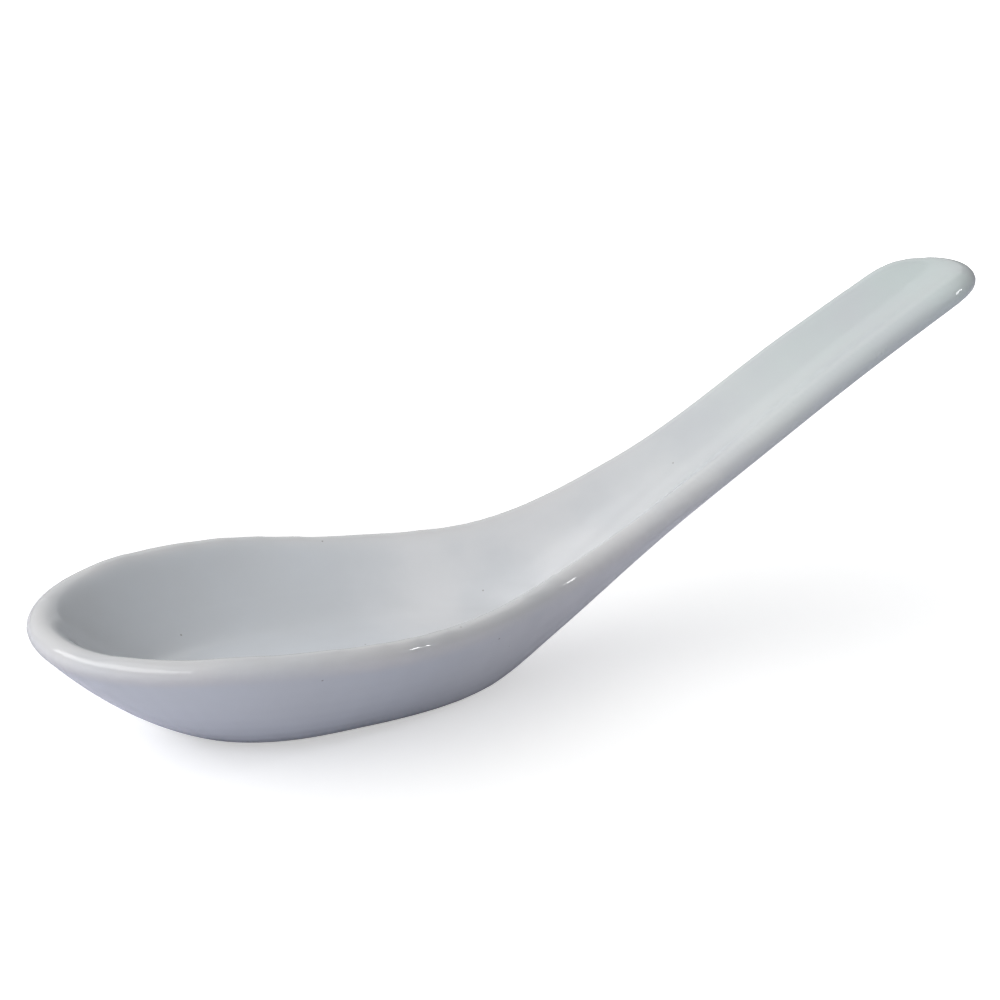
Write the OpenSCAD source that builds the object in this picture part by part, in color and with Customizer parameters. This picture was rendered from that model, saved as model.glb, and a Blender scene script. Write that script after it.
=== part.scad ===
// Chinese soup spoon of glazed porcelain.
// An oval bowl with a flat floor runs through a wide neck into a rising handle with a shallow channel.
// The spoon lies along X with the bowl's tip towards -X, and stands on the table, z = 0, on its bare foot.
// The origin is the middle of the foot.

/* [Overall] */
// Length from the bowl's tip to the handle's end
total_length = 138; // [124:1:170]
// Thickness of the wall, which ends at the rim in a full round
wall_thickness = 3.1; // [2.4:0.1:3.8]
// Thickness of the base from the foot to the flat floor inside
base_thickness = 5.8; // [5:0.1:8]
// Thickness of the glaze
glaze_thickness = 0.25; // [0.15:0.05:0.5]
// Roundness of the wall's section, where 1 is a straight slope and 2 a parabola
wall_roundness = 2.35; // [1.8:0.05:2.8]

/* [Bowl outline] */
// Width over the rim at the bowl's widest section
bowl_width = 48; // [42:0.5:60]
// From the widest section forward to the tip
bowl_front = 32.6; // [28:0.1:42]
// Fullness of the outline ahead of the widest section, where 2 is an ellipse
front_fullness = 2.15; // [1.8:0.05:3]
// From the widest section back to the shoulder
shoulder_back = 16; // [12:1:22]
// Width over the rim at the shoulder
shoulder_width = 39.8; // [34:0.2:46]

/* [Neck and handle outline] */
// From the widest section back to the neck
neck_back = 34; // [30:1:44]
// Width over the rim at the neck
neck_width = 25.6; // [20:0.2:34]
// From the widest section back to the bend, where the handle starts
bend_back = 54; // [46:1:62]
// Width over the rim at the bend
bend_width = 19.4; // [16:0.2:26]
// From the handle's end forward to the grip
grip_forward = 24; // [16:1:32]
// Width over the rim at the grip
grip_width = 18; // [14:0.2:24]
// Width that the handle's end is rounded from
end_width = 17.2; // [14:0.2:24]
// Length of the handle's rounded end
end_round = 8.8; // [5:0.2:12]

/* [Rim heights] */
// Top of the rim above the table at the tip
tip_height = 16.4; // [14:0.1:20]
// Top of the rim midway from the tip to the widest section
front_height = 17; // [14:0.1:20]
// Top of the rim at the widest section
middle_height = 16.3; // [14:0.1:20]
// Top of the rim at the shoulder
shoulder_height = 15.2; // [13:0.1:18]
// Top of the rim at the neck
neck_height = 16.5; // [14:0.1:20]
// Top of the rim at the bend
bend_height = 23.4; // [18:0.1:28]
// Top of the rim at the grip
grip_height = 37.5; // [30:0.1:45]
// Top of the rim at the handle's end
end_height = 48.4; // [40:0.1:60]

/* [Underside and channel] */
// Width of the flat foot at the widest section
foot_width = 16; // [12:0.2:20]
// From the widest section back to the foot's rear end
foot_rear = 26.4; // [20:0.2:29]
// Height of the bare foot below the glaze
foot_height = 0.4; // [0.2:0.1:1]
// Height over which the wall bends into the foot and into the floor
bend_softness = 0.7; // [0.4:0.1:1.2]
// Height of the underside above the table at the neck
neck_rise = 3.7; // [2:0.1:5]
// Depth of the channel below the rim at the bend
bend_depth = 3.9; // [2.6:0.1:5]
// Depth of the channel below the rim at the grip
grip_depth = 2.4; // [1.2:0.1:4]
// Depth of the channel below the rim at the handle's end, where it runs out open
end_depth = 1.6; // [0.6:0.1:3]

/* [Hidden] */

// Ribs on one side of the spoon: ahead of the widest section, on to the rear of the foot,
// on to the rear of the floor, along the neck and handle, and round the handle's end
front_ribs = 14;
foot_ribs = 10;
floor_ribs = 8;
handle_ribs = 18;
end_ribs = 7;
// How the handle's ribs crowd towards the bowl, where 1 is evenly spaced
handle_crowding = 1.4;
// Steps up the wall and round the rim
wall_steps = 9;
rim_steps = 6;
// Distance over which slopes are measured
slope_step = 0.01;

function unit(v) = v / norm(v);

// A smooth curve through stations: its slope at each is that of the parabola through the neighbours,
// and at both ends that of the last chord
function chord(xs, ys, i) = (ys[i + 1] - ys[i]) / (xs[i + 1] - xs[i]);
function parabola_slope(xs, ys, i) =
    let (before = xs[i] - xs[i - 1], after = xs[i + 1] - xs[i])
    (after * chord(xs, ys, i - 1) + before * chord(xs, ys, i)) / (before + after);
function slope_at(xs, ys, i) = let (last = len(xs) - 1)
    i == 0 ? chord(xs, ys, 0) : i == last ? chord(xs, ys, last - 1) : parabola_slope(xs, ys, i);
function span(xs, x, i = 0) = i == len(xs) - 2 || x <= xs[i + 1] ? i : span(xs, x, i + 1);
function curve(xs, ys, x) =
    let (i = span(xs, x), h = xs[i + 1] - xs[i], t = (x - xs[i]) / h, r = 1 - t)
    (1 + 2 * t) * r * r * ys[i] + t * r * r * h * slope_at(xs, ys, i)
    + (1 + 2 * r) * t * t * ys[i + 1] - r * t * t * h * slope_at(xs, ys, i + 1);

// The rim line is the middle of the rim's round.
// Places along the spoon are measured back from the widest section.
rim_radius = wall_thickness / 2;
rim_front = bowl_front - rim_radius;
handle_end = total_length - bowl_front;
rim_end = handle_end - rim_radius;
round_start = handle_end - end_round;
grip_back = handle_end - grip_forward;

// The wall's middle surface lies at this height over the foot. Heights on it are measured from there,
// and under the floor it lies higher.
foot_level = foot_height + rim_radius;
floor_rise = base_thickness - rim_radius - foot_level;

// Stations of the rim line's half width, of which the first mirrors the shoulder, and of its height
width_x = [-shoulder_back, 0, shoulder_back, neck_back, bend_back, grip_back, rim_end];
width_y = [for (w = [shoulder_width, bowl_width, shoulder_width,
                     neck_width, bend_width, grip_width, end_width])
    w / 2 - rim_radius];
height_x = [-rim_front, -rim_front / 2, 0, shoulder_back, neck_back, bend_back, grip_back, rim_end];
height_z = [for (h = [tip_height, front_height, middle_height, shoulder_height,
                      neck_height, bend_height, grip_height, end_height])
    h - rim_radius - foot_level];
function half_width(x) = curve(width_x, width_y, x);
function rim_rise(x) = curve(height_x, height_z, x);

// Stations of the spine. Over the foot it sags below the foot's level, just deep enough for the foot's width.
foot_share = pow(foot_width / 2 / half_width(0), wall_roundness);
sag = (foot_share * rim_rise(0) + bend_softness) / (1 - foot_share);
spine_x = [-foot_rear, 0, foot_rear, neck_back, bend_back, grip_back, rim_end];
spine_z = [
    -bend_softness, -sag, -bend_softness,
    neck_rise + rim_radius - foot_level,
    rim_rise(bend_back) - bend_depth,
    rim_rise(grip_back) - grip_depth,
    rim_rise(rim_end) - end_depth
];
function spine_rise(x) = curve(spine_x, spine_z, max(x, 0));

// The hull rises from the spine to the rim line, and reach is the share of the way out to that line
function reach(p) = p.x >= 0 ? abs(p.y) / half_width(p.x)
    : pow(
        pow(-p.x / rim_front, front_fullness) + pow(abs(p.y) / half_width(0), front_fullness),
        1 / front_fullness
    );
function hull_rise(p) = let (low = spine_rise(p.x))
    low + (rim_rise(p.x) - low) * pow(reach(p), wall_roundness);

// The wall's middle surface is the hull, planed flat at a level with a soft edge
function planed(z) = abs(z) >= bend_softness ? max(z, 0) : pow(z + bend_softness, 2) / (4 * bend_softness);
function rise(p, level) = level + planed(hull_rise(p) - level);
function middle(p, level) = [p.x, p.y, foot_level + rise(p, level)];
function slope(p, way, level) =
    (rise(p + way * slope_step, level) - rise(p - way * slope_step, level)) / (2 * slope_step);
function upward(p, level) = unit([-slope(p, [1, 0], level), -slope(p, [0, 1], level), 1]);

// A rib runs in plan from the spine to the rim line. This share of it lies flat at a level.
function on_rib(rib, share) = rib[0] + (rib[1] - rib[0]) * share;
function flat_share(rib, level, low = 0, high = 1, rounds = 24) =
    let (share = (low + high) / 2)
    rounds == 0 ? low
    : hull_rise(on_rib(rib, share)) <= level - bend_softness
        ? flat_share(rib, level, share, high, rounds - 1)
        : flat_share(rib, level, low, share, rounds - 1);
spine_rib = [[foot_rear, 0], [bend_back, 0]];
floor_rear = on_rib(spine_rib, flat_share(spine_rib, floor_rise)).x;

// Ahead of the widest section the ribs fan out, and so they do round the handle's end
function oval(a) = let (power = 2 / front_fullness)
    [-rim_front * pow(cos(a), power), half_width(0) * pow(sin(a), power)];
function straight_rib(x) = [[x, 0], [x, half_width(x)]];
function end_rib(a) = let (way = (rim_end - round_start) * sin(a), x = round_start + way)
    [[round_start + way / 2, 0], [x, half_width(x) * cos(a)]];
ribs = [
    for (i = [0 : front_ribs - 1]) [[0, 0], oval(90 * i / front_ribs)],
    for (i = [0 : foot_ribs - 1]) straight_rib(foot_rear * sin(90 * i / foot_ribs)),
    for (i = [0 : floor_ribs - 1])
        straight_rib(foot_rear + (floor_rear - foot_rear) * sin(90 * i / floor_ribs)),
    for (i = [0 : handle_ribs - 1])
        straight_rib(floor_rear + (round_start - floor_rear) * pow(i / handle_ribs, handle_crowding)),
    for (i = [0 : end_ribs]) end_rib(90 * i / end_ribs)
];
tail = len(ribs) - 1;

// The inside is planed at the floor and the outside at the foot, each up to the rib at its rear end
INSIDE = 0;
OUTSIDE = 1;
levels = [floor_rise, 0];
foot_tail = front_ribs + foot_ribs;
flat_tails = [foot_tail + floor_ribs, foot_tail];
flat_shares = [for (side = [INSIDE, OUTSIDE])
    [for (i = [0 : tail]) i < flat_tails[side] ? flat_share(ribs[i], levels[side]) : 0]];

// Points of the skin, set in from the finished surface by a depth
function wall_point(i, j, side, depth) =
    let (flat = flat_shares[side][i], p = on_rib(ribs[i], flat + (1 - flat) * j / wall_steps))
    middle(p, levels[side]) + (side == INSIDE ? 1 : -1) * (rim_radius - depth) * upward(p, levels[side]);
rim_line = [for (rib = ribs) middle(rib[1], 0)];
function rim_way(i) = i == 0 ? [0, 1, 0] : i == tail ? [0, -1, 0]
    : let (before = rim_line[i] - rim_line[i - 1], after = rim_line[i + 1] - rim_line[i])
    before * norm(after) / norm(before) + after * norm(before) / norm(after);
function rim_point(i, a, depth) =
    let (up = upward(ribs[i][1], 0), out = unit(cross(up, rim_way(i))))
    rim_line[i] + (rim_radius - depth) * (cos(a) * up + sin(a) * out);

// The skin: each rib runs up the inside, round the rim and down the outside
function skin_rib(i, depth) = [
    for (j = [0 : wall_steps]) wall_point(i, j, INSIDE, depth),
    for (k = [1 : rim_steps - 1]) rim_point(i, 180 * k / rim_steps, depth),
    for (j = [wall_steps : -1 : 0]) wall_point(i, j, OUTSIDE, depth)
];
function skin(depth) =
    let (half = [for (i = [0 : tail]) skin_rib(i, depth)])
    [
        for (i = [0 : tail]) each half[i],
        for (i = [tail - 1 : -1 : 1]) for (p = half[i]) [p.x, -p.y, p.z]
    ];
rib_points = 2 * wall_steps + rim_steps + 1;
rib_ends = [0, rib_points - 1];
rib_count = 2 * tail;
skin_points = rib_count * rib_points;

// A skin's point, where the ribs of both sides share those on the spine behind the floor and the foot
function on_spine(i, j) = i > tail && len([for (side = [INSIDE, OUTSIDE])
    if (j == rib_ends[side] && rib_count - i >= flat_tails[side]) side]) > 0;
function at(i, j) = let (k = i % rib_count) (on_spine(k, j) ? rib_count - k : k) * rib_points + j;
function proper(faces) = [for (f = faces) if (f[0] != f[1] && f[1] != f[2] && f[2] != f[0]) f];
skin_faces = proper([
    for (i = [0 : rib_count - 1]) for (j = [0 : rib_points - 2])
        each [[at(i, j), at(i, j + 1), at(i + 1, j)], [at(i + 1, j), at(i, j + 1), at(i + 1, j + 1)]]
]);

// The skin's edge round the floor and round the foot
function edge(side) = let (last = flat_tails[side], j = rib_ends[side])
    [for (i = [0 : last]) at(i, j), for (i = [last - 1 : -1 : 1]) at(rib_count - i, j)];
floor_edge = edge(INSIDE);
foot_edge = edge(OUTSIDE);
foot_count = len(foot_edge);

// The place of the widest section, with the origin in the middle of the foot
foot_front = rim_front * flat_shares[OUTSIDE][0];
widest_x = (foot_front - foot_rear) / 2;

// A band of faces between two rings of points
function band(upper, lower) = let (n = len(upper)) [for (k = [0 : n - 1]) let (next = (k + 1) % n)
    each [[upper[k], lower[k], upper[next]], [upper[next], lower[k], lower[next]]]];
function backwards(list) = [for (k = [len(list) - 1 : -1 : 0]) list[k]];

// The clay: a skin under the glaze, closed below by the low wall and the flat face of its foot
module porcelain_body() {
    clay = skin(glaze_thickness);
    foot = [for (k = foot_edge) [clay[k].x, clay[k].y, 0]];
    foot_ring = [for (k = [0 : foot_count - 1]) skin_points + k];
    faces = [each skin_faces, floor_edge, each band(foot_edge, foot_ring), backwards(foot_ring)];
    color("#e6e2da") translate([widest_x, 0, 0]) polyhedron(concat(clay, foot), faces);
}

// The glaze: the finished skin and the clay's skin, joined by a narrow edge round the foot
module glaze_coat() {
    inner_edge = [for (k = foot_edge) k + skin_points];
    finished = [each skin_faces, floor_edge];
    faces = [
        each finished,
        for (face = finished) [for (k = backwards(face)) k + skin_points],
        each band(foot_edge, inner_edge)
    ];
    color("#dde1e4") translate([widest_x, 0, 0]) polyhedron(concat(skin(0), skin(glaze_thickness)), faces);
}

porcelain_body();
glaze_coat();
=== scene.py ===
# %% [markdown]
# # A porcelain soup spoon
#
# The spoon is one piece of fired clay under one coat of clear glaze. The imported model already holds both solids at
# their real size. This lesson starts from a copy of the clay, wipes its edges round, dips it into the glaze, gives
# clay and glaze their finishes, and sets up a small photo studio round them.
#
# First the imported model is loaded. Its box is kept, so that the finished spoon can be compared with it.

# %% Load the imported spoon
from math import cos, pi, radians, sin

import bpy
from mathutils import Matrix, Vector


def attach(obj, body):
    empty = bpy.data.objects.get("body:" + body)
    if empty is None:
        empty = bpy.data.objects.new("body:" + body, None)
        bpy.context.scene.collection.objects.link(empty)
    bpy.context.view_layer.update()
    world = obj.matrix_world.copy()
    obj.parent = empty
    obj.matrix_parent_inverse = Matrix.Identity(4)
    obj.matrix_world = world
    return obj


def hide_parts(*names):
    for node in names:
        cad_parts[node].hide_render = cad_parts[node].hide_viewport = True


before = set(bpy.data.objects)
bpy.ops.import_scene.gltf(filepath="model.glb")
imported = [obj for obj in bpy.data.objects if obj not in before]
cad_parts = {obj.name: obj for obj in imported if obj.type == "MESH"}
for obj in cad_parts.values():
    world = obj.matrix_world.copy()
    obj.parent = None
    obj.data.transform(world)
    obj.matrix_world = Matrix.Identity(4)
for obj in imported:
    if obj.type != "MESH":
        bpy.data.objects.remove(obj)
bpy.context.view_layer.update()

scene = bpy.context.scene


def in_mm(lengths):
    """Lengths in metres as rounded millimetres, for the printed notes."""
    return [round(1000 * length, 2) for length in lengths]


# %% [markdown]
# ## The camera
#
# The photograph was taken from the bowl's side, a little above the rim, with the handle rising to the right. A
# camera can be turned by hand until the outlines agree. Here it is placed by a point to look at, a distance and two
# angles, because those are the numbers that one changes when the outlines don't agree yet. The lamps are placed in
# the same way later.

# %% Place the camera
LOOK_AT = Vector((0.0223, 0, 0.0230))
CAMERA_DISTANCE = 0.300
CAMERA_LENS = 83.7
NEAREST_SEEN = 0.01


def aim(thing, azimuth, elevation, distance):
    """Put a camera or lamp at two angles in degrees and turn it to the spoon. Azimuth 0 is on the side of -Y."""
    round_it, above = radians(azimuth), radians(elevation)
    way = Vector((sin(round_it) * cos(above), -cos(round_it) * cos(above), sin(above)))
    thing.location = LOOK_AT + distance * way
    thing.rotation_euler = way.to_track_quat("Z", "Y").to_euler()


bpy.ops.object.camera_add()
camera = bpy.context.object
camera.name = "camera"
camera.data.lens = CAMERA_LENS
camera.data.clip_start = NEAREST_SEEN
aim(camera, azimuth=-30, elevation=17.7, distance=CAMERA_DISTANCE)
scene.camera = camera
print("camera at", in_mm(camera.location), "mm")

# %% [markdown]
# ## The clay body
#
# The spoon's body is porcelain clay, cast in a plaster mould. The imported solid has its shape, but where two of its
# surfaces meet they leave a seam, and on the real spoon there is none. The seams could be rounded one by one. It is
# quicker to wrap a copy of the solid in an even net of small quads and to smooth the net a little.
#
# A few short helpers do what is done again and again by hand: pick one piece, open it in edit mode, leave edit mode,
# and wrap a piece in a new net.

# %% Helpers for modelling
def only(piece):
    """Select one piece alone, and make it the active one."""
    bpy.ops.object.select_all(action="DESELECT")
    piece.select_set(True)
    bpy.context.view_layer.objects.active = piece


def edit_all():
    """Open the active piece in edit mode, with all of it selected."""
    bpy.ops.object.mode_set(mode="EDIT")
    bpy.ops.mesh.select_all(action="SELECT")


def leave_edit():
    """Select nothing, and go back to object mode."""
    bpy.ops.mesh.select_all(action="DESELECT")
    bpy.ops.object.mode_set(mode="OBJECT")


def wrap(piece, net):
    """Wrap the active piece in a net of quads of the given size."""
    piece.data.remesh_voxel_size = net
    bpy.ops.object.voxel_remesh()


def counted(piece):
    """How many corners and faces a piece has, for the printed notes."""
    return f"{piece.name}: {len(piece.data.vertices)} corners, {len(piece.data.polygons)} faces"


print("packed", counted(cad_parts["porcelain_body"]))

# %% [markdown]
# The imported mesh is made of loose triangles, so the copy's corners are merged before it is wrapped.

# %% Wrap a copy of the clay
SAME_PLACE = 1e-6
FINE_NET = 0.0004
SMOOTHING = 0.5
NET_SMOOTHING = 6

body = bpy.data.objects.new("clay_body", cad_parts["porcelain_body"].data.copy())
scene.collection.objects.link(body)
only(body)
if body.data.has_custom_normals:
    bpy.ops.mesh.customdata_custom_splitnormals_clear()
edit_all()
bpy.ops.mesh.remove_doubles(threshold=SAME_PLACE)
leave_edit()
wrap(body, FINE_NET)
edit_all()
bpy.ops.mesh.vertices_smooth(factor=SMOOTHING, repeat=NET_SMOOTHING)
leave_edit()
print(counted(body))

# %% [markdown]
# Before the clay is fired, its edges are wiped round with a wet sponge. The inner edge of the rim gets the most of
# it: there the rim rolls over softly into the bowl and into the channel of the handle. A smooth modifier does the
# sponging, and a vertex group tells it where: fully where the surface looks in towards the spoon's middle line,
# less where it looks up, and least where it looks out. On the handle a second, shorter round over the two slopes of
# the channel makes them gentler. The sponge also wears the edges down, so after each round a displace modifier lets
# them swell back by a quarter of a millimetre, and the outline stays where the photograph has it.

# %% Get the sponge ready
MIDDLE_LINE = 0.0, 0.0885
LOOKS_UP_FROM, LOOKS_UP_TO = 0, 0.3
FADE = 0.020
SWELL = 0.00025


def share_of(value, low, high):
    """How far a value has come from low to high, between 0 and 1."""
    return min(max((value - low) / (high - low), 0), 1)


def wiped_share(corner, looks_out, looks_in, start):
    """How much of the sponge a corner of the body gets, between 0 and 1."""
    middle = min(max(corner.co.x, MIDDLE_LINE[0]), MIDDLE_LINE[1])
    inwards = Vector((middle - corner.co.x, -corner.co.y, 0)).normalized()
    share = share_of(corner.normal.dot(inwards), looks_out, looks_in)
    share *= share_of(corner.normal.z, LOOKS_UP_FROM, LOOKS_UP_TO) * share_of(corner.co.x, start, start + FADE)
    return share


def apply_modifier(piece, kind, **settings):
    """Add a modifier to the active piece, set it and apply it."""
    bpy.ops.object.modifier_add(type=kind)
    modifier = piece.modifiers[-1]
    for name, value in settings.items():
        setattr(modifier, name, value)
    bpy.ops.object.modifier_apply(modifier=modifier.name)


print("the sponge fades in over", 1000 * FADE, "mm")

# %% [markdown]
# The two rounds differ in how long they take, in where they start along the spoon, and in how far round the rim they
# reach: a surface that looks fully out has the value -1, one that looks up 0, and one that looks fully in 1.

# %% Sponge the inner edges
BEFORE_THE_BOWL, HANDLE_ROOT = -0.060, 0.008


def sponge(passes, looks_out, looks_in, start):
    """Smooth the body behind start, from where it looks out to where it looks in, and swell it back."""
    wiped = body.vertex_groups.new(name="wiped")
    for corner in body.data.vertices:
        wiped.add([corner.index], wiped_share(corner, looks_out, looks_in, start), "REPLACE")
    apply_modifier(body, "SMOOTH", factor=SMOOTHING, iterations=passes, vertex_group="wiped")
    apply_modifier(body, "DISPLACE", mid_level=0, strength=SWELL, vertex_group="wiped")
    body.vertex_groups.clear()
    print("sponged with", passes, "passes, swollen by", 1000 * SWELL, "mm")


sponge(passes=130, looks_out=-1.1, looks_in=0.2, start=BEFORE_THE_BOWL)
sponge(passes=50, looks_out=-1.4, looks_in=0.3, start=HANDLE_ROOT)

# %% [markdown]
# A light polish takes the net's own small steps out of the surface. Each stroke smooths the net and then lets it
# swell back by about as much, so nothing gets thinner.

# %% Polish the clay
POLISH_STROKES = 12
SWELL_BACK = -0.52

edit_all()
for _ in range(POLISH_STROKES):
    bpy.ops.mesh.vertices_smooth(factor=SMOOTHING)
    bpy.ops.mesh.vertices_smooth(factor=SWELL_BACK)
leave_edit()
print("polished with", POLISH_STROKES, "strokes")

# %% [markdown]
# ## The glaze
#
# The glaze is what one sees of the spoon everywhere but on its foot: a thin coat that follows the clay. It could be
# modelled as a thin shell, but nobody ever sees its inner side. So it is made as a dipped spoon gets it: a copy of
# the body is pushed out all round by the thickness of the coat. The body itself, hidden from now on but for its
# foot, makes do with a coarser net.

# %% Dip it into the glaze
COAT = 0.00036
HIDDEN_NET = 0.0007

bpy.ops.object.duplicate()
glaze = bpy.context.object
glaze.name = "glaze"
edit_all()
bpy.ops.transform.shrink_fatten(value=COAT)
leave_edit()
only(body)
wrap(body, HIDDEN_NET)
bpy.ops.object.shade_smooth()
only(glaze)
print(counted(body), "and", counted(glaze))

# %% [markdown]
# Molten glaze runs down the wall and gathers where the wall meets the floor of the bowl, so that corner is soft on
# the real spoon. The faces in the lower part of the bowl are found by their place and by the way they look, and
# smoothing them fills the corner in the same way.

# %% Let the glaze pool in the bowl
POOL_TOP = 0.0095
POOL_BACK = 0.034
POOL_LOOKS_UP = 0.2
POOL_SMOOTHING = 60

pooled = 0
for face in glaze.data.polygons:
    face.select = face.center.z < POOL_TOP and face.center.x < POOL_BACK and face.normal.z > POOL_LOOKS_UP
    pooled += face.select
bpy.ops.object.mode_set(mode="EDIT")
bpy.ops.mesh.vertices_smooth(factor=SMOOTHING, repeat=POOL_SMOOTHING)
leave_edit()
print(pooled, "faces smoothed in the bowl")

# %% [markdown]
# A spoon is fired standing on its foot, so the foot is wiped clean of glaze first, or it would bake on to the shelf.
# The coat is cut off just above the shelf, and the bare clay stands out below it. The cut's edge is marked sharp, so
# that the smooth shading stops there.

# %% Wipe the foot
GLAZE_LINE = 0.0004

bpy.ops.object.shade_smooth()
edit_all()
bpy.ops.mesh.bisect(
    plane_co=(0, 0, GLAZE_LINE), plane_no=(0, 0, 1), use_fill=True, clear_inner=True, threshold=SAME_PLACE)
bpy.ops.mesh.mark_sharp()
leave_edit()
print(counted(glaze))

# %% [markdown]
# ## The glaze's finish
#
# White glaze is never one flat white. Where it lies thick, as in the bowl, it is a little blue. Where it is thin, as
# on the rim and along the edges of the handle, the warmer clay shines through. Blender's dirty vertex colours
# measure just that: they make corners that bulge pale and corners in a hollow dark. They are painted into an
# attribute of the mesh, so that the finish follows the shape from any side.

# %% Paint where the glaze is thin
HOLLOW = radians(80)
BULGE = radians(100)
PAINT_BLUR = 20

bpy.ops.geometry.color_attribute_add(name="thin", domain="CORNER", data_type="FLOAT_COLOR", color=(1, 1, 1, 1))
bpy.ops.object.mode_set(mode="VERTEX_PAINT")
bpy.ops.paint.vertex_color_dirt(
    blur_strength=1, blur_iterations=PAINT_BLUR, clean_angle=BULGE, dirt_angle=HOLLOW, normalize=False)
bpy.ops.object.mode_set(mode="OBJECT")
painted = sorted(corner.color[0] for corner in glaze.data.color_attributes["thin"].data)
print("thinness from", round(painted[0], 2), "to", round(painted[-1], 2))
print("half of the surface is below", round(painted[len(painted) // 2], 2))

# %% [markdown]
# A finish is a small net of nodes. A few helpers keep the net readable: one starts a material, one feeds a socket,
# one adds a node, one cuts a stretch out of a value, one blends two colours, one makes clouds, and one lets a pattern
# tilt the surface. All patterns are laid out in the object's own metres, so a grain of 0.4 mm stays 0.4 mm.

# %% Helpers for finishes
def new_finish(name):
    """A new material: its node tree, its shader and the object's own coordinates."""
    material = bpy.data.materials.new(name)
    material.use_nodes = True
    tree = material.node_tree
    place = tree.nodes.new("ShaderNodeTexCoord").outputs["Object"]
    return material, tree, tree.nodes["Principled BSDF"], place


def feed(tree, socket, source):
    """Link a socket to a source, or write a plain value into it."""
    if isinstance(source, bpy.types.NodeSocket):
        tree.links.new(source, socket)
    else:
        socket.default_value = source


def add_node(tree, kind, **values):
    """Add a node, and feed its sockets by their names."""
    node = tree.nodes.new(kind)
    for name, value in values.items():
        feed(tree, node.inputs[name], value)
    return node


def stretch(tree, source, low, high, first=0.0, last=1.0):
    """Follow a source from low to high, softly, with a value from first to last."""
    node = tree.nodes.new("ShaderNodeMapRange")
    node.interpolation_type = "SMOOTHSTEP"
    for socket, value in zip(node.inputs, (source, low, high, first, last)):
        feed(tree, socket, value)
    return node.outputs["Result"]


def blend(tree, share, first, second):
    """Go from the first colour to the second by a share."""
    node = tree.nodes.new("ShaderNodeMix")
    node.data_type = "RGBA"
    for index, value in ((0, share), (6, first), (7, second)):
        feed(tree, node.inputs[index], value)
    return node.outputs[2]


def noise(tree, place, size, detail=2.0):
    """Soft irregular clouds of about the given size in metres."""
    return add_node(tree, "ShaderNodeTexNoise", Vector=place, Scale=1 / size, Detail=detail).outputs["Fac"]


def bumped(tree, shader, height, depth, strength):
    """Let a height pattern tilt the surface, as waves or grains of the given depth in metres."""
    bump = add_node(tree, "ShaderNodeBump", Height=height, Distance=depth, Strength=strength)
    feed(tree, shader.inputs["Normal"], bump.outputs["Normal"])


print("the glaze to finish measures", in_mm(glaze.dimensions), "mm")

# %% [markdown]
# The colour of the glaze is mixed in layers: thick blue-white in the bowl, then a whiter glaze from the slope behind
# it onwards, which is painted light that brightens the slope where the lamps leave it too dark, thin warm white by
# the painted attribute, and a breath of green towards the end of the handle, which hung lowest in the dip.

# %% Mix the white glaze
THICK_GLAZE = (0.705, 0.738, 0.778, 1)
PAINTED_LIGHT_GLAZE = (0.802, 0.812, 0.830, 1)
THIN_GLAZE = (0.734, 0.735, 0.745, 1)
GREEN_GLAZE = (0.660, 0.735, 0.728, 1)
PAINTED_LIGHT_FROM, PAINTED_LIGHT_TO = 0.000, 0.018
THIN_FROM, THIN_TO = 0.52, 0.64
GREEN_FROM, GREEN_TO = 0.033, 0.092

white_glaze, tree, shader, place = new_finish("white_glaze")
along = add_node(tree, "ShaderNodeSeparateXYZ", Vector=place).outputs["X"]
# Painted light: from the handle's root on, the glaze is painted whiter to brighten the slope where the lamps leave it
# too dark.
colour = blend(tree, stretch(tree, along, PAINTED_LIGHT_FROM, PAINTED_LIGHT_TO), THICK_GLAZE, PAINTED_LIGHT_GLAZE)
thin = tree.nodes.new("ShaderNodeAttribute")
thin.attribute_name = "thin"
colour = blend(tree, stretch(tree, thin.outputs["Fac"], THIN_FROM, THIN_TO), colour, THIN_GLAZE)
colour = blend(tree, stretch(tree, along, GREEN_FROM, GREEN_TO), colour, GREEN_GLAZE)
print("colours of the glaze:", len(tree.nodes), "nodes")

# %% [markdown]
# Faint clouds and a few specks of iron that burnt through lie over that. A Voronoi pattern has one point in each of
# its cells, and a speck is what lies very close to a point.

# %% Add clouds and iron specks
CLOUD_GLAZE = (0.680, 0.705, 0.735, 1)
CLOUD_SIZE, CLOUD_DETAIL = 0.012, 3
CLOUD_FROM, CLOUD_TO, CLOUD_SHARE = 0.35, 0.75, 0.6
IRON_SPECK = (0.200, 0.180, 0.165, 1)
SPECK_SPACING = 0.0055
SPECK_CORE, SPECK_EDGE, SPECK_SHARE = 0.016, 0.032, 0.6

clouds = noise(tree, place, CLOUD_SIZE, CLOUD_DETAIL)
colour = blend(tree, stretch(tree, clouds, CLOUD_FROM, CLOUD_TO, 0, CLOUD_SHARE), colour, CLOUD_GLAZE)
cells = add_node(tree, "ShaderNodeTexVoronoi", Vector=place, Scale=1 / SPECK_SPACING)
specks = stretch(tree, cells.outputs["Distance"], SPECK_CORE, SPECK_EDGE, SPECK_SHARE, 0)
colour = blend(tree, specks, colour, IRON_SPECK)
feed(tree, shader.inputs["Base Color"], colour)
print("with clouds and specks:", len(tree.nodes), "nodes")

# %% [markdown]
# The gloss of the glaze is that of glass, a little uneven, and its surface has very shallow waves, because it was
# thick like honey when it set. With that the glaze is finished: it rides on the spoon's one body and stands for the
# packed glaze.

# %% Give the glaze its gloss
GLOSS_SIZE = 0.006
GLOSS_FROM, GLOSS_TO = 0.3, 0.7
BEST_GLOSS, LEAST_GLOSS = 0.06, 0.1
WAVE_SIZE, WAVE_DETAIL = 0.007, 1
WAVE_DEPTH, WAVE_STRENGTH = 0.00004, 0.25

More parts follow.
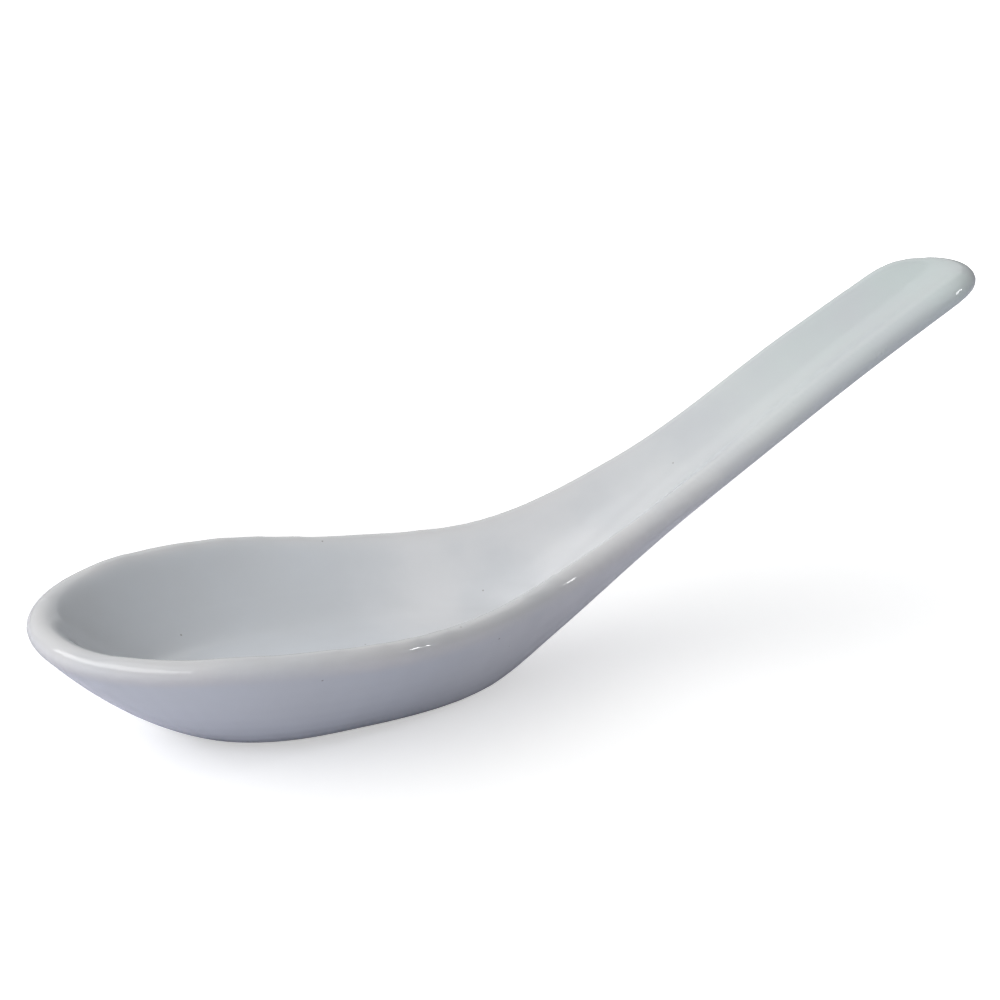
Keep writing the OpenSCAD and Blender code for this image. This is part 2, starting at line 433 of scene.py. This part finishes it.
gloss = stretch(tree, noise(tree, place, GLOSS_SIZE), GLOSS_FROM, GLOSS_TO, BEST_GLOSS, LEAST_GLOSS)
feed(tree, shader.inputs["Roughness"], gloss)
bumped(tree, shader, noise(tree, place, WAVE_SIZE, WAVE_DETAIL), WAVE_DEPTH, WAVE_STRENGTH)
glaze.data.materials.clear()
glaze.data.materials.append(white_glaze)
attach(glaze, "root")
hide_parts("glaze_coat")
print("glaze finish:", len(tree.nodes), "nodes")

# %% [markdown]
# ## The bare clay
#
# The clay shows only on the foot, where the glaze was wiped away. Fired porcelain clay is matt and a little warm,
# with fine grains and the grey marks of the kiln shelf.

# %% Mix the bare clay
PALE_CLAY = (0.720, 0.690, 0.630, 1)
SHELF_MARK = (0.480, 0.440, 0.390, 1)
MARK_SIZE, MARK_DETAIL = 0.004, 4
MARK_FROM, MARK_TO, MARK_SHARE = 0.5, 0.75, 0.6
GRAIN_SIZE, GRAIN_DETAIL = 0.0004, 3
GRAIN_FROM, GRAIN_TO, GRAIN_SHARE = 0.45, 0.8, 0.35
MATT_FROM, MATT_TO, LEAST_MATT, MOST_MATT = 0.3, 0.7, 0.65, 0.85
GRAIN_DEPTH, GRAIN_STRENGTH = 0.0001, 0.5

bare_clay, tree, shader, place = new_finish("bare_clay")
marks = stretch(tree, noise(tree, place, MARK_SIZE, MARK_DETAIL), MARK_FROM, MARK_TO, 0, MARK_SHARE)
colour = blend(tree, marks, PALE_CLAY, SHELF_MARK)
grain = noise(tree, place, GRAIN_SIZE, GRAIN_DETAIL)
colour = blend(tree, stretch(tree, grain, GRAIN_FROM, GRAIN_TO, 0, GRAIN_SHARE), colour, SHELF_MARK)
feed(tree, shader.inputs["Base Color"], colour)
feed(tree, shader.inputs["Roughness"], stretch(tree, grain, MATT_FROM, MATT_TO, LEAST_MATT, MOST_MATT))
bumped(tree, shader, grain, GRAIN_DEPTH, GRAIN_STRENGTH)
body.data.materials.clear()
body.data.materials.append(bare_clay)
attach(body, "root")
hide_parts("porcelain_body")
print("clay finish:", len(tree.nodes), "nodes")

# %% [markdown]
# ## The studio
#
# The spoon stands on white paper. The camera sees the paper glow, softly near the spoon and fully further away, so
# that the picture's background comes out white and still keeps the spoon's shadow. For all other light, also in the
# glaze's reflections, it is plain pale paper.

# %% Lay out the paper
PAPER_SIZE = 6
PAPER = (0.705, 0.706, 0.790, 1)
SEEN_PAPER = (0.800, 0.800, 0.800, 1)
GLOW_FROM, GLOW_TO = 0.06, 0.25
GLOW_NEAR, GLOW_FAR = 0.5, 1.0

bpy.ops.mesh.primitive_plane_add(size=PAPER_SIZE)
paper = bpy.context.object
paper.name = "white_paper"
white_paper, tree, shader, place = new_finish("white_paper")
tree.nodes.remove(shader)
away = add_node(tree, "ShaderNodeVectorMath", Vector=place)
away.operation = "LENGTH"
glow_strength = stretch(tree, away.outputs["Value"], GLOW_FROM, GLOW_TO, GLOW_NEAR, GLOW_FAR)
plain = add_node(tree, "ShaderNodeBsdfDiffuse", Color=PAPER)
seen = add_node(tree, "ShaderNodeBsdfDiffuse", Color=SEEN_PAPER)
glow = add_node(tree, "ShaderNodeEmission", Strength=glow_strength)
glowing = add_node(tree, "ShaderNodeAddShader")
tree.links.new(seen.outputs[0], glowing.inputs[0])
tree.links.new(glow.outputs[0], glowing.inputs[1])
camera_ray = tree.nodes.new("ShaderNodeLightPath").outputs["Is Camera Ray"]
choice = add_node(tree, "ShaderNodeMixShader", Fac=camera_ray)
tree.links.new(plain.outputs[0], choice.inputs[1])
tree.links.new(glowing.outputs[0], choice.inputs[2])
tree.links.new(choice.outputs[0], tree.nodes["Material Output"].inputs["Surface"])
paper.data.materials.append(white_paper)
print("paper", PAPER_SIZE, "m wide")

# %% [markdown]
# The light is that of a small photo table. A long soft box on the left does most of the work: it draws the white
# streak along the rim of the tip. A higher one next to it and one in front soften the shadows, and a pale wall at
# the back brightens the near half of the handle's channel. One small lamp on the right draws the tiny bright spots
# on the near rim. A lamp's level says how bright it alone would make white paper that faces it, so the levels can be
# compared whatever the lamps' sizes.

# %% Set up the lamps
BOX_DISTANCE = 0.9
LAMP_DISTANCE = 0.3


def soft_lamp(name, azimuth, elevation, width, height, level, distance=BOX_DISTANCE):
    """An area lamp that looks at the spoon from the given angles."""
    bpy.ops.object.light_add(type="AREA")
    lamp = bpy.context.object
    lamp.name = name
    aim(lamp, azimuth, elevation, distance)
    lamp.data.shape = "RECTANGLE"
    lamp.data.size = width
    lamp.data.size_y = height
    lamp.data.energy = level * (pi * distance) ** 2
    print(name, "at level", level)


soft_lamp("left_box", azimuth=-95, elevation=39, width=1.6, height=0.42, level=0.87)
soft_lamp("high_box", azimuth=-100, elevation=62, width=1.0, height=0.4, level=0.11)
soft_lamp("front_box", azimuth=-30, elevation=14, width=0.8, height=0.4, level=0.05)
soft_lamp("back_wall", azimuth=170, elevation=25, width=1.2, height=0.65, level=0.14)
soft_lamp("small_lamp", azimuth=57, elevation=28.5, width=0.04, height=0.04, level=0.07, distance=LAMP_DISTANCE)

# %% [markdown]
# A dim even world fills in what the lamps leave dark. Only the camera sees it as white, so that the picture's
# background stays white above the paper's far edge too.

# %% Fill in with the world
WORLD_WHITE = (1, 1, 1, 1)
WORLD_LEVEL, WORLD_SEEN = 0.215, 1

world = bpy.data.worlds.new("studio")
scene.world = world
world.use_nodes = True
tree = world.node_tree
camera_ray = tree.nodes.new("ShaderNodeLightPath").outputs["Is Camera Ray"]
sky = tree.nodes["Background"]
feed(tree, sky.inputs["Color"], WORLD_WHITE)
feed(tree, sky.inputs["Strength"], stretch(tree, camera_ray, 0, 1, WORLD_LEVEL, WORLD_SEEN))
scene.view_settings.view_transform = "Standard"
print("world at level", WORLD_LEVEL)
